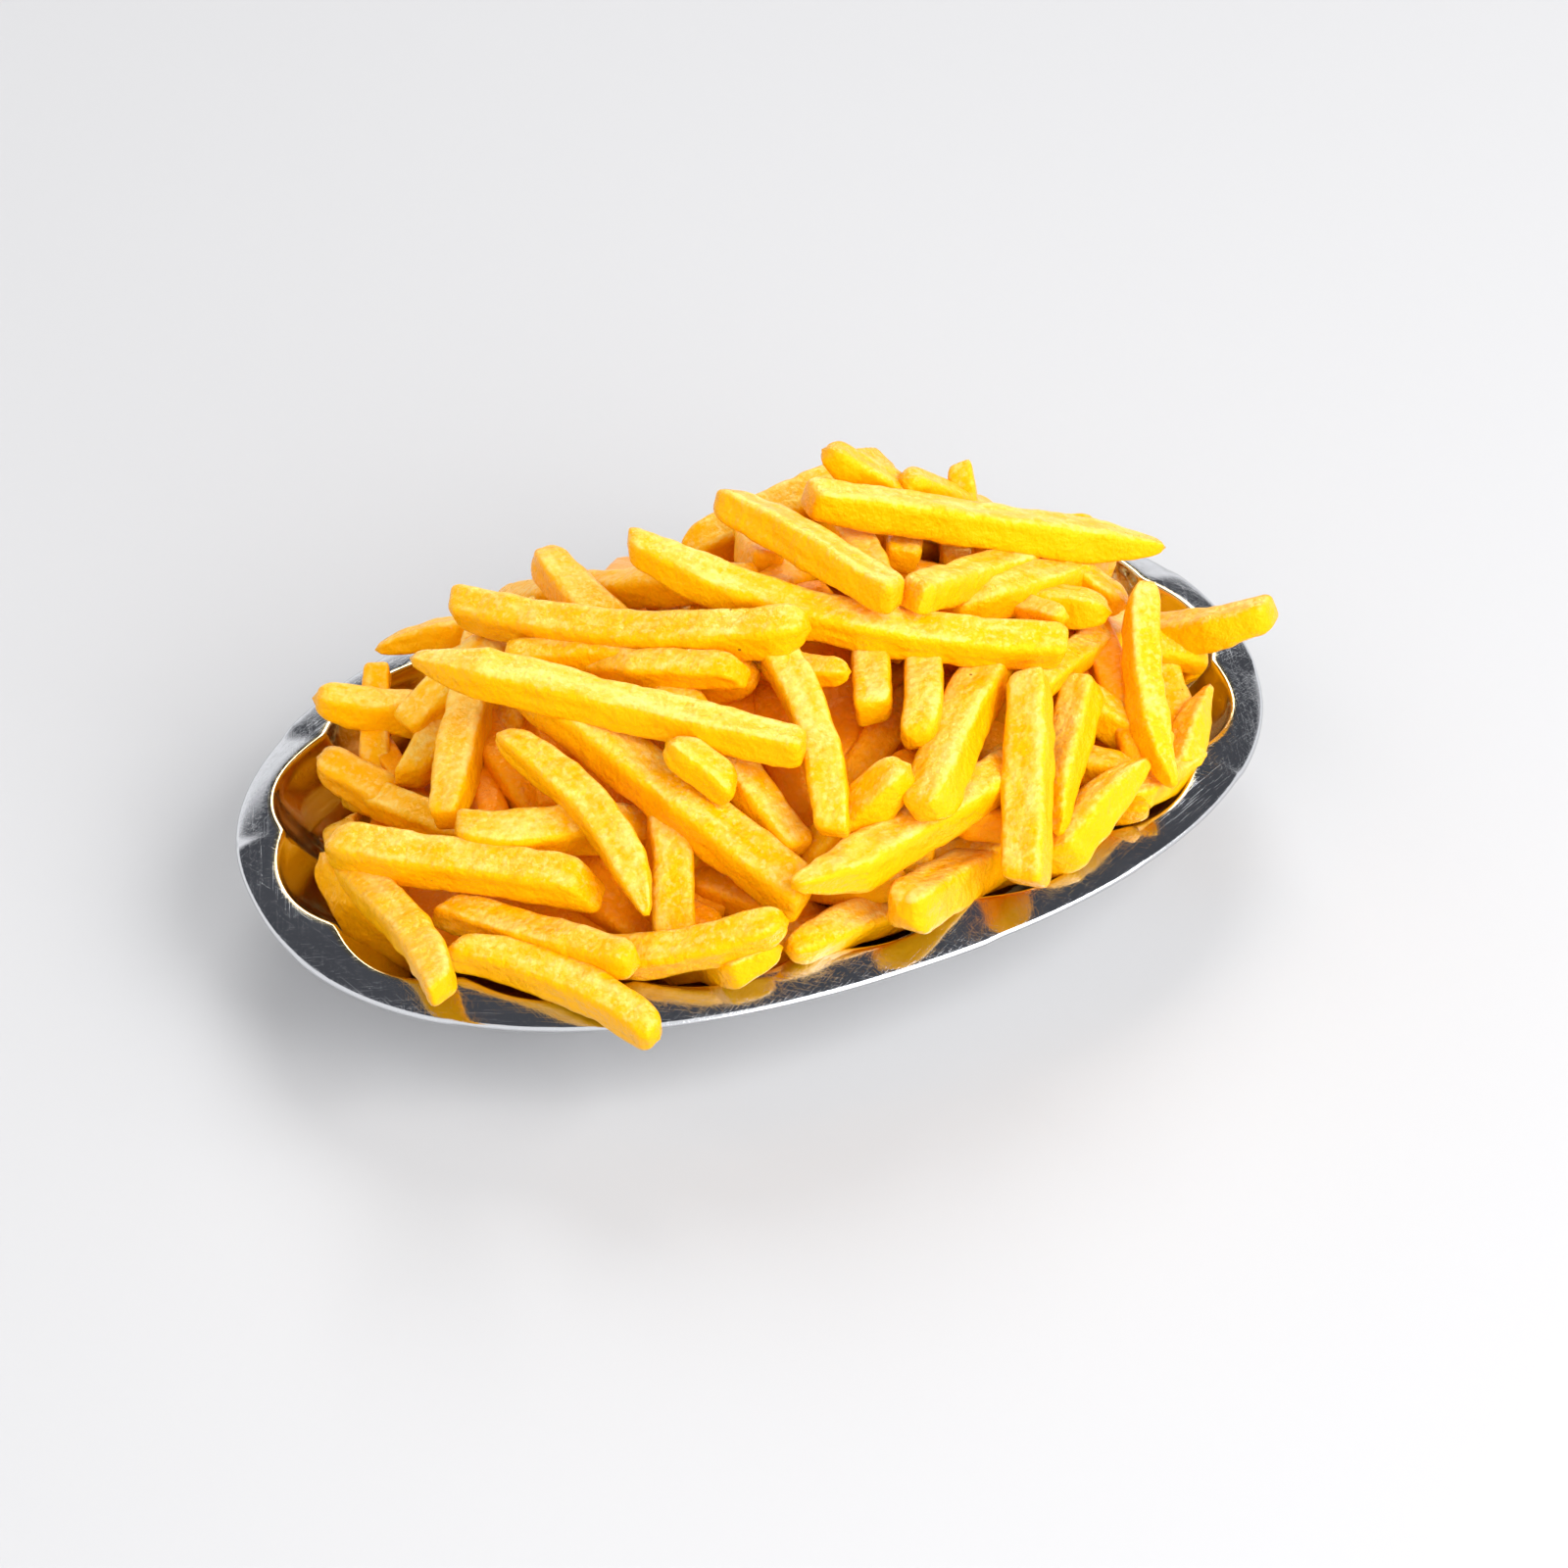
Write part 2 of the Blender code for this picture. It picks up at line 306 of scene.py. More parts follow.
def steelMaterial():
    material, f = newMaterial("polishedSteel")
    place = f.node("ShaderNodeTexCoord", out="Object")
    scratches = None
    for turn, size in ((0.5, 0.0006), (1.9, 0.0008), (2.7, 0.0005), (1.2, 0.0009)):
        turned = f.node("ShaderNodeVectorRotate", {"rotation_type": "Z_AXIS"}, {"Vector": place, "Angle": turn})
        fine = f.noise(turned, size, detail=1.0, stretch=(0.05, 3.0, 1.0)).step(0.60, 0.68)
        scratches = fine if scratches is None else scratches + fine
    smears = f.noise(place, 0.012, detail=4).step(0.35, 0.75)
    grain = f.noise(place, 0.0008, detail=2)
    bump = f.node("ShaderNodeBump", None, {"Strength": 0.6, "Distance": steel["scratchDepth"],
                                           "Height": scratches * 1.0 + grain * 0.5})
    colour = f.mix(scratches.step(0.2, 1.4) * 0.2, steel["colour"], (0.80, 0.80, 0.80))
    inside = f.node("ShaderNodeAttribute", {"attribute_name": "inside"}, out="Fac")
    # painted reflection: the inner side takes an amber tint that stands in for the fries mirrored in the steel
    colour = f.mix(inside * steel["oil"], colour, steel["paintedReflectionColour"])
    shader = f.node("ShaderNodeBsdfPrincipled", None, {
        "Base Color": colour,
        "Metallic": 1.0,
        "Roughness": steel["roughness"] + smears * steel["smears"] + scratches * 0.04,
        "Normal": bump,
    })
    f.node("ShaderNodeOutputMaterial", None, {"Surface": shader})
    return material


steelDish = makeDish(steelMaterial())
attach(steelDish, "root")
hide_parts("dish")
print("dish made:", len(steelDish.data.polygons), "faces")


# start and end (mm, heights from the rim), width seen over an edge, sideways bow, the two ends, tone.
# Ends: b blunt cut, r rounded, p pointed, h goes on out of sight. Tone: 0 pale, 1 deep: partly the fry's own colour,
# partly painted shade, as the fries seen low in the gaps have deep tones.
# A last number lifts a fry that lies on top of the others, in mm towards the eye.
placedFries = [
    # left end
    ((-80, 45, 6), (-64, 30, 9), 9.5, 0, "rh", 0.4),
    ((-77, 17, 0), (-65, 51, 5), 7.5, 0, "hb", 0.6),
    ((-67, 27, 8), (-48, 29, 18), 11, 0, "bh", 0.3),
    ((-54, 21, 19), (-71, -6, 10), 10, 0, "hb", 0.3),
    ((-73, 24, 5), (-74, 6, 7), 6, 0, "hh", 0.8),
    ((-84, 33, 1), (-76, 4, 7), 9.5, 0, "rh", 0.6),
    ((-76, 5, 6), (-64, -14, 9), 8, 0, "hh", 0.5),
    ((-70, -10, 11), (-50, -27, 17), 10.5, 2, "bh", 0.4),
    ((-93, 2, 6), (-53, -37, 11), 10.5, 0, "rb", 0.45),
    ((-93, 8, -3), (-90, -13, -3), 11, 0, "rh", 0.6),
    ((-89, -9, 3), (-88, -47, 6), 9.5, -1.5, "hb", 0.35),
    ((-78, -22, 2), (-50, -51, 2), 9.5, 0, "br", 0.5),
    ((-80, -34, 2), (-54, -71, 1), 9.5, -5, "br", 0.45, 3),
    ((-55, 5, 14), (-56, -14, 14), 9.5, 0, "hh", 0.8),
    ((-60, 5, 10), (-62, -12, 9), 8, 0, "hh", 0.9),
    ((-58, -24, 8), (-47, -42, 3), 10, 0, "hh", 0.9),
    # top, left to right
    ((-62, 55, 6), (-23, 46, 10), 9.5, 0, "ph", 0.5),
    ((-32, 39, 33), (-27, 16, 30), 10, 0, "rh", 0.6),
    ((-28, 32, 26), (-8, 18, 32), 9, 0, "hh", 0.5),
    ((-51, 38, 26), (4, -14, 39), 10.5, 5, "br", 0.45, 3),
    ((-28, -2, 32), (-11, -16, 34), 8, 0, "hb", 0.4),
    ((-64, 26, 26), (-6, -34, 27), 10.5, 0, "pb", 0.2, 7),
    ((-16, 27, 38), (58, -21, 22), 10, 8, "bb", 0.45),
    ((3, 25, 45), (24, -14, 41), 9.5, 0, "rb", 0.35, 4),
    ((0, 36, 24), (30, 39, 28), 11, 0, "rh", 0.5),
    ((28, 28, 48), (39, 19, 40), 8.5, 0, "rh", 0.55),
    ((46, 27, 36), (56, 17, 31), 9, 0, "rh", 0.4),
    ((58, 24, 38), (57, 20, 26), 8.5, 0, "bh", 0.4),
    ((21, 21, 42), (95, 7, 15), 10.5, 0, "bp", 0.12, 5),
    ((71, 28, 16), (81, 22, 16), 7.5, 0, "rh", 0.5),
    ((26, 12, 37), (24, -4, 38), 8, 0, "hh", 0.1),
    ((30, 8, 30), (42, -2, 30), 8, 0, "hh", 0.7),
    ((29, -10, 37), (54, -4, 32), 9, 0, "bh", 0.2),
    ((32, -14, 38), (38, -9, 38), 5, 0, "hp", 0.6),
    ((44, -13, 33), (70, -2, 24), 10, 0, "hh", 0.25),
    ((50, -9, 29), (73, -13, 20), 10.5, 0, "hr", 0.3),
    ((50, -14, 30), (60, -18, 26), 6, 0, "hr", 0.1),
    # front, left to right
    ((-55, 2, 21), (-44, -46, 8), 8.8, -4.5, "rp", 0.2, 2),
    ((-45, 2, 26), (-15, -54, 8), 12, 0, "hb", 0.4),
    ((-36, -37, 15), (-41, -49, 2), 10, 0, "hh", 0.5),
    ((-40, -44, 5), (-31, -50, 3), 9, 0, "hb", 0.8),
    ((-52, -47, 2), (-20, -55, 4), 9.5, 2.5, "hr", 0.4),
    ((-33, -60, 1), (-23, -60, 2), 8, 0, "hr", 0.4),
    ((-30, -40, 6), (-22, -48, 4), 9, 0, "hh", 0.8),
    ((-29, -22, 28), (-22, -35, 23), 9, 0, "rb", 0.2),
    ((-23, -22, 29), (-12, -46, 13), 9.5, 0, "hb", 0.4),
    ((-24, -33, 14), (-12, -45, 8), 9, 0, "hh", 1.0),
    ((-8, -30, 20), (-9, -42, 12), 9, 0, "hh", 0.9),
    ((-3, -17, 35), (-6, -48, 16), 9.5, -3, "hb", 0.2),
    ((-1, -21, 37), (8, -25, 36), 7, 0, "hr", 0.3),
    ((-1, -23, 24), (9, -26, 24), 9, 0, "hh", 1.0),
    ((-1, -40, 17), (17, -27, 20), 10, 0, "hh", 0.8),
    ((13, -41, 21), (-9, -49, 14), 10, 0, "rh", 0.3),
    ((29, -44, 13), (-16, -55, 9), 10.5, 0, "hp", 0.25),
    ((16, -19, 34), (10, -32, 29), 9, 0, "hb", 0.2),
    ((25, -24, 31), (17, -38, 24), 9.5, 0, "hr", 0.25),
    ((38, -26, 24), (14, -47, 14), 11.5, 0, "hr", 0.2),
    ((46, -30, 25), (27, -66, 6), 11, 0, "bb", 0.1, 4),
    ((59, -29, 19), (40, -53, 5), 9, 0, "bp", 0.15),
    ((60, -28, 12), (70, -38, 6), 9, 0, "hh", 0.5),
    ((57, -23, 18), (67, -18, 17), 8, 0, "hh", 0.4),
    ((66, -40, 5), (40, -56, 0), 11, 0, "ph", 0.4),
    ((55, -38, 4), (62, -42, 2), 9, 0, "hh", 0.6),
    ((62, -47, -3), (66, -46, -4), 7, 0, "hr", 0.7),
    ((20, -46, 9), (30, -50, 9), 10, 0, "rh", 0.8),
    ((16, -42, 5), (9, -53, 1), 8.5, 0, "hh", 0.4),
    ((19, -48, -1), (17, -54, -2), 8, 0, "hh", 0.5),
    ((16, -50, 2), (28, -50, 3), 8, 0, "hh", 0.5),
    ((4, -59, 1), (22, -56, 4), 11, 0, "rh", 0.1),
    ((-7, -49, 6), (7, -53, 3), 9.5, 0, "hr", 0.45),
    ((-20, -56, -1), (2, -52, -2), 8, 0, "hh", 0.5),
    ((-21, -59, 1), (3, -57, 0), 9.5, 0, "rh", 0.3),
    # right end
    ((74, 3, 19), (84, -2, 12), 9, 0, "hr", 0.4),
    ((88, -2, 14), (73, -41, -3), 8.5, 2.5, "rp", 0.3, 4),
    ((86, -5, 5), (112, -15, 9), 9.5, 3, "hb", 0.3),
    ((78, -8, 7), (92, -14, 4), 9, 0, "hh", 0.4),
    ((84, -18, 3), (82, -32, -2), 11, 0, "hh", 0.4),
    ((95, -18, -2), (80, -35, -8), 8.5, 0, "ph", 0.35),
    ((72, -40, -6), (80, -36, -7), 7, 0, "hh", 0.5),
    ((71, -17, 12), (68, -36, 4), 9, 0, "hh", 0.8),
]

# the far slope, left to right
backFries = [
    ((-84, 18, 2), (-60, 38, 14), 9.5, 0, "br", 0.4),
    ((-58, 34, 16), (-24, 50, 12), 9.5, 2, "rb", 0.3),
    ((-40, 54, 4), (-8, 60, 3), 9.5, -2, "br", 0.5),
    ((-14, 50, 15), (12, 46, 24), 10, 0, "bb", 0.35),
    ((0, 60, 4), (34, 56, 6), 10, 2, "rb", 0.45),
    ((22, 48, 16), (50, 40, 22), 10, 0, "br", 0.3),
    ((44, 52, 6), (74, 40, 5), 9.5, 3, "rb", 0.4),
    ((60, 34, 14), (82, 25, 7), 9.5, 0, "bp", 0.4),
    ((-44, 20, 25), (-14, 40, 24), 9.5, 0, "bb", 0.45),
    ((-20, 8, 38), (-4, 34, 31), 9.5, 0, "bb", 0.4),
    ((-46, 40, 18), (-72, 18, 13), 9.5, 0, "br", 0.4),
    ((-30, 2, 35), (-46, 20, 25), 9, 0, "bb", 0.4),
    ((-6, 50, 19), (-36, 45, 18), 9.5, 0, "bb", 0.25),
    ((6, 8, 42), (14, 36, 32), 10, 0, "bb", 0.4),
    ((8, 44, 24), (40, 47, 18), 9.5, 2, "rb", 0.2),
    ((32, 6, 38), (46, 32, 27), 10, 0, "bb", 0.4),
    ((50, 2, 33), (62, 26, 21), 9.5, 0, "br", 0.3),
    ((30, 30, 33), (68, 24, 22), 9.5, 0, "bb", 0.4),
    ((56, 36, 17), (28, 56, 10), 9.5, 0, "bb", 0.5),
]

heap = {
    "peak": 47,               # mm above the rim
    "peakX": 15,
    "length": 200,
    "width": 122,
    "layers": ((10, 46), (18, 30)),   # depth under the skin in mm, number of fries
    "shortest": 34,
    "longest": 66,
    "seed": 21,
    "coreDepth": 19,          # the mass that closes the gaps between the deepest fries
    "goesOn": 19,             # hidden length of a fry that runs in under others
    "dive": 0.35,             # how steeply that length goes in
    "spots": 21,
    "layRounds": 80,
    "mostTucked": 16,         # mm that a fry of the far slope may be lowered
    "ease": 0.95,
    "cutSide": 0.82,          # a fry's side, as a share of its width seen over an edge
    "settleRounds": 40,
    "hold": 0.05,             # how strongly a fry keeps its place
    "room": 0.90,
    "slide": (-0.318, -0.688, 0.652),   # the line along which the fries of the near slope part
}


def heapHeight(x, y):
    power = dish["power"]
    rho = (abs(2 * x / heap["length"]) ** power + abs(2 * y / heap["width"]) ** power) ** (1 / power)
    dome = max(0.0, 1 - rho * rho) ** 0.8
    return (heap["peak"] + 3) * (1 - ((x - heap["peakX"]) / 150) ** 2) * dome - 3


def goOn(fry):
    # lengthens a fry at the ends that go on under its neighbours
    start, end, width, bow, style, tone, *lift = fry
    points = [np.array(start, float), np.array(end, float)]
    points = [point + np.array(heap["slide"]) * sum(lift) for point in points]
    seen = np.linalg.norm(points[1] - points[0])
    along = (points[1] - points[0]) / seen
    hidden = [0.0, 0.0]
    for which, way in ((0, -1), (1, 1)):
        if style[which] == "h":
            hidden[which] = min(heap["goesOn"], max(8, 58 - seen) / style.count("h"))
            points[which] += along * way * hidden[which]
    return {"start": points[0], "end": points[1], "thick": width * heap["cutSide"], "bow": bow,
            "style": style.replace("h", "b"), "tone": tone, "hidden": hidden}


def keepInside(points, radius):
    # brings points that are outside the bowl back in
    points = np.array(points)
    low = np.clip(-points[:, 2] * mm / rimHeight, 0, 1)
    inset = 2 * (dish["flangeAtLobe"] + dish["fluteDepth"] + 1 + low * (dish["footInset"] - 9) + radius)
    sizeX, sizeY = (dishHigh.x - dishLow.x) / mm - inset, (dishHigh.y - dishLow.y) / mm - inset
    power = dish["power"]
    rho = (np.abs(2 * points[:, 0] / sizeX) ** power + np.abs(2 * points[:, 1] / sizeY) ** power) ** (1 / power)
    points[:, :2] /= np.maximum(rho, 1)[:, None]
    points[:, 2] = np.maximum(points[:, 2], -rimHeight / mm + dish["sheet"] + radius + 1)
    return points


def spineOf(fry, depth):
    # the middle line of a fry at these lengths from its start, with its sides' directions
    length = np.linalg.norm(fry["end"] - fry["start"])
    along = (fry["end"] - fry["start"]) / length
    side = np.cross(along, (0, 0, 1))
    side = side / np.linalg.norm(side) if np.linalg.norm(side) > 0.2 else np.cross(along, (0, 1, 0))
    first, last = fry["hidden"]
    part = np.clip((depth - first) / (length - first - last), 0, 1)
    beyond = np.maximum(first - depth, 0) + np.maximum(depth - (length - last), 0)
    points = fry["start"] + np.outer(depth, along) + np.outer(fry["bow"] * 4 * part * (1 - part), side)
    points -= np.outer(heap["dive"] * beyond + 0.014 * beyond ** 2, heap["slide"])   # goes in under the others
    share = np.clip(beyond / 12, 0, 1)[:, None]
    points += (keepInside(points, fry["thick"] * 0.6) - points) * share * share * (3 - 2 * share)
    return points, along, side


def hiddenFries():
    # fries in layers under the ones on show, lying along the heap's slope
    draw = np.random.default_rng(heap["seed"])
    made = []
    for depth, count in heap["layers"]:
        for k in range(count):
            around, out = k * 2.39996, math.sqrt((k + 0.5) / count)
            x = heap["length"] * 0.42 * out * math.cos(around) + 2
            y = heap["width"] * 0.40 * out * math.sin(around)
            turn = draw.uniform(0, math.pi)
            half = draw.uniform(heap["shortest"], heap["longest"]) / 2
            ends = []
            for way in (-1, 1):
                ex, ey = x + way * half * math.cos(turn), y + way * half * math.sin(turn) * 0.8
                rho = math.hypot(2 * ex / 184, 2 * ey / 108)
                if rho > 1:
                    ex, ey = ex / rho, ey / rho
                ends.append((ex, ey, heapHeight(ex, ey) - depth + draw.uniform(-2, 2)))
            style = "".join(draw.choice(["b", "b", "r"], 2))
            # the packed fries take deep tones, a painted shade for the gaps they show in
            made.append({"start": np.array(ends[0]), "end": np.array(ends[1]), "thick": draw.uniform(7.6, 8.8),
                         "bow": draw.uniform(-2, 2), "style": style, "tone": draw.uniform(0.5, 1.0),
                         "hidden": [0.0, 0.0]})
    return made


def dishTree():
    mesh = steelDish.data
    return BVHTree.FromPolygons([v.co for v in mesh.vertices], [p.vertices[:] for p in mesh.polygons])


def layFront(fries):
    # lets the fries on the near slope lie on each other and on the steel: they slide only along one line,
    # so that each stays where it is seen, the higher one on top
    right, up, back, eye = (np.array(axis) for axis in viewAxes())
    steps = np.linspace(0.02, 0.98, heap["spots"])
    sight, flat, depth, bias = [], [], [], []
    for fry in fries:
        length = np.linalg.norm(fry["end"] - fry["start"])
        points = spineOf(fry, steps * length)[0]
        first, last = fry["hidden"]
        away = eye - points
        reach = np.linalg.norm(away, axis=1)
        flat.append(-np.stack([away @ right, away @ up], axis=1) / (away @ back)[:, None] * view["away"])
        depth.append(view["away"] - reach)
        middle = eye - (fry["start"] + fry["end"]) / 2
        sight.append(middle / np.linalg.norm(middle))
        inside = np.full(len(steps), 99.0)
        if first:
            inside = np.minimum(inside, steps * length - first)
        if last:
            inside = np.minimum(inside, length - last - steps * length)
        bias.append(np.where(inside < 0, 14.0, np.where(inside < 1.2 * fry["thick"], 9.0, 0.0)))
    rules = []
    for i, j in itertools.combinations(range(len(fries)), 2):
        need = (fries[i]["thick"] + fries[j]["thick"]) / 2 * heap["room"]
        gaps = np.linalg.norm(flat[i][:, None] - flat[j][None], axis=2)
        open_ = (bias[i] < 14)[:, None] | (bias[j] < 14)[None]
        close = np.argwhere((gaps < need * 0.97) & open_)
        if not len(close):
            continue
        over = np.array([depth[j][b] - bias[j][b] - depth[i][a] + bias[i][a] for a, b in close])
        seen = np.array([bias[i][a] < 14 and bias[j][b] < 14 for a, b in close])
        sign = np.sign(over)
        if seen.any():
            sign[seen] = np.sign(over[seen].mean())
        for a, want in zip(*np.unique(close[:, 0], return_index=True)):
            rows = np.nonzero(close[:, 0] == a)[0]
            row = rows[gaps[a, close[rows, 1]].argmin()]
            b = close[row, 1]
            rules.append((i, a, j, b, math.sqrt(need ** 2 - gaps[a, b] ** 2), sign[row]))
    tree, rim = dishTree(), rimHeight / mm
    floors = np.full((len(fries), len(steps)), -999.0)
    for k, fry in enumerate(fries):
        for spot, (u, v) in enumerate(flat[k]):
            ray = Vector(u * right + v * up - view["away"] * back).normalized()
            hit = tree.ray_cast(Vector(eye + (0, 0, rim)) * mm, ray)
            if hit[0] is not None:
                lean = max(abs(hit[1].dot(ray)), 0.5)
                floors[k, spot] = view["away"] - hit[3] / mm + fry["thick"] * 0.5 / lean
    shift = np.zeros((len(fries), 2))
    for turn in range(heap["layRounds"]):
        for i, a, j, b, need, sign in rules:
            ta, tb = steps[a], steps[b]
            apart = sign * (depth[j][b] + shift[j, 0] * (1 - tb) + shift[j, 1] * tb
                            - depth[i][a] - shift[i, 0] * (1 - ta) - shift[i, 1] * ta)
            if apart < need:
                push = sign * (need - apart) / ((1 - tb) ** 2 + tb ** 2 + (1 - ta) ** 2 + ta ** 2) * 0.7
                shift[j] += (push * (1 - tb), push * tb)
                shift[i] -= (push * (1 - ta), push * ta)
        height = np.array(depth) + shift[:, :1] * (1 - steps) + shift[:, 1:] * steps
        short = np.maximum(floors - height, 0)
        for k, spot in np.argwhere(short > 0.01):
            t = steps[spot]
            shift[k] += short[k, spot] * 0.5 * np.array([1 - t, t]) / ((1 - t) ** 2 + t ** 2) / 3
        if turn < heap["layRounds"] - 10:
            shift *= heap["ease"]
    print("near slope laid:", len(rules), "touches, shifted", round(float(shift.mean()), 1), "mm on average,",
          round(float(shift.std()), 1), "mm spread")
    for fry, toward, (first, last) in zip(fries, sight, shift):
        fry["start"] = fry["start"] + toward * first
        fry["end"] = fry["end"] + toward * last
    return fries


def tuckUnder(fries, front):
    # lowers the fries of the far slope until the near ones hide them, and leaves out what would still show
    right, up, back, eye = (np.array(axis) for axis in viewAxes())
    steps = np.linspace(0, 1, 17)

    def onScreen(fry):
        away = eye - (fry["start"] + np.outer(steps, fry["end"] - fry["start"]))
        return -np.stack([away @ right, away @ up], axis=1) / (away @ back)[:, None] * view["away"]

    bins = np.arange(-130, 131, 2.0)
    skyline = np.full(len(bins), -999.0)
    for fry in front:
        for u, v in onScreen(fry):
            near = np.abs(bins - u) < fry["thick"] * 0.45
            skyline[near] = np.maximum(skyline[near], v + fry["thick"] * 0.35)
    kept = []
    for fry in fries:
        drop = 0.0
        for u, v in onScreen(fry):
            edge = skyline[np.abs(bins - u) < fry["thick"] * 0.6]
            if len(edge):
                drop = max(drop, v + fry["thick"] * 0.55 - edge.min())
        drop /= math.cos(math.radians(view["height"]))
        if drop < heap["mostTucked"]:
            for end in ("start", "end"):
                fry[end] = fry[end] - np.array([0, 0, drop])
            kept.append(fry)
    return kept


def settle(still, fries):
    # moves the other fries apart where they run through each other or the steel, clear of those that lie still
    everything = still + fries
    count, fixed = len(everything), len(still)
    begin = np.array([fry["start"] for fry in everything])
    end = np.array([fry["end"] for fry in everything])
    home = begin.copy(), end.copy()
    thick = np.array([fry["thick"] for fry in everything])
    bow = np.array([fry["bow"] for fry in everything], float)
    length = np.linalg.norm(end - begin, axis=1)
    hidden = np.array([fry["hidden"] for fry in everything]) / length[:, None]
    steps = np.linspace(0.03, 0.97, 13)
    t = hidden[:, :1] + (1 - hidden.sum(axis=1))[:, None] * steps      # only what is seen takes room
    tree, rim = dishTree(), rimHeight / mm
    for turn in range(heap["settleRounds"]):
        along = (end - begin) / np.linalg.norm(end - begin, axis=1)[:, None]
        side = np.cross(along, (0, 0, 1))
        side /= np.linalg.norm(side, axis=1)[:, None] + 1e-9
        spots = begin[:, None] + (end - begin)[:, None] * t[..., None]
        spots = spots + (4 * steps * (1 - steps))[None, :, None] * (side * bow[:, None])[:, None, :]
        moves = np.zeros((2, count, 3))
        touches = np.ones(count)

        def push(k, spot, shift):
            place = t[k, spot]
            share = 1 / ((1 - place) ** 2 + place ** 2)
            moves[0, k] += shift * (1 - place) * share
            moves[1, k] += shift * place * share
            touches[k] += 0.5

        for k in range(fixed, count):
            gaps = np.linalg.norm(spots[k][:, None, None] - spots[None, :k], axis=3)   # own spot, fry, its spot
            table = gaps.transpose(1, 0, 2).reshape(k, -1)
            least = table.argmin(axis=1)
            reach = table[np.arange(k), least]
            need = (thick[k] + thick[:k]) / 2 * 0.88
            for other in np.nonzero(reach < need)[0]:
                mine, its = divmod(least[other], len(steps))
                apart = spots[other, its] - spots[k, mine]
                apart = apart / (np.linalg.norm(apart) + 1e-6)
                if other < fixed:           # goes in under it
                    inward = np.array([heap["peakX"], 0, -5.0]) - spots[k, mine]
                    apart = apart * 0.6 - inward / np.linalg.norm(inward)
                    apart /= np.linalg.norm(apart)
                amount = need[other] - reach[other]
                push(k, mine, -apart * amount * (0.8 if other < fixed else 0.5))
                if other >= fixed:
                    push(other, its, apart * amount * 0.5)
            for spot in (0, 6, 12):
                x, y, z = spots[k, spot]
                hit = tree.ray_cast(Vector((x, y, 150)) * mm, Vector((0, 0, -1)))
                short = -1 if hit[0] is None else hit[0].z / mm - rim + thick[k] * 0.5 - z
                if short > 0:
                    slope = Vector((hit[1].x, hit[1].y, abs(hit[1].z) + 0.35)).normalized()
                    push(k, spot, np.array(slope) * short * 0.8)
        begin[fixed:] += moves[0, fixed:] / touches[fixed:, None] ** 0.5 + (home[0] - begin)[fixed:] * heap["hold"]
        end[fixed:] += moves[1, fixed:] / touches[fixed:, None] ** 0.5 + (home[1] - end)[fixed:] * heap["hold"]
        begin[fixed:] = keepInside(begin[fixed:], 3)
        end[fixed:] = keepInside(end[fixed:], 3)
    moved = np.linalg.norm(begin - home[0], axis=1)[fixed:]
    print("the others settled, moved", round(float(moved.mean()), 1), "mm on average")
    for k in range(fixed, count):
        everything[k]["start"], everything[k]["end"] = begin[k], end[k]
    return fries


def outOfTheWay(fries, front):
    # leaves out a packed fry that would stand in front of one that lies on show
    slide = np.array(heap["slide"])
    steps = np.linspace(0.03, 0.97, 15)

    def spotsOf(fry, seenOnly):
        first, last = fry["hidden"] if seenOnly else (0, 0)
        length = np.linalg.norm(fry["end"] - fry["start"])
        return spineOf(fry, first + steps * (length - first - last))[0]

    shown = np.concatenate([spotsOf(fry, True) for fry in front])
    kept = []
    for fry in fries:
        gap = spotsOf(fry, False)[:, None] - shown[None]
        ahead = gap @ slide
        beside = np.linalg.norm(gap - ahead[..., None] * slide, axis=2)
        if not ((beside < fry["thick"] * 0.75) & (ahead > -2.5)).any():
            kept.append(fry)
    return kept


fryShape = {
    "around": 40,
    "ringStep": 0.8,          # mm between rings along a fry
    "squareness": (4.4, 6.8),  # superellipse exponent of the section
    "blister": 0.20,          # mm
    "swell": 0.42,
    "thinner": 0.22,          # most that an end is thinner than the middle
    "roll": 0.2,
    "waver": 0.5,
    "sunken": 0.045,          # how far the faces sink between the edges
}


def endScale(depth, style, thick):
    # how wide the fry is at this depth from its end
    if style == "b":
        reach = thick * 0.32
        return 0.68 + 0.32 * np.sqrt(1 - (1 - np.clip(depth / reach, 0, 1)) ** 2)
    if style == "r":
        reach = thick * 0.62
        return 0.34 + 0.66 * np.sqrt(1 - (1 - np.clip(depth / reach, 0, 1)) ** 2)
    reach = thick * 1.7
    return 0.26 + 0.74 * np.clip(depth / reach, 0, 1) ** 0.62


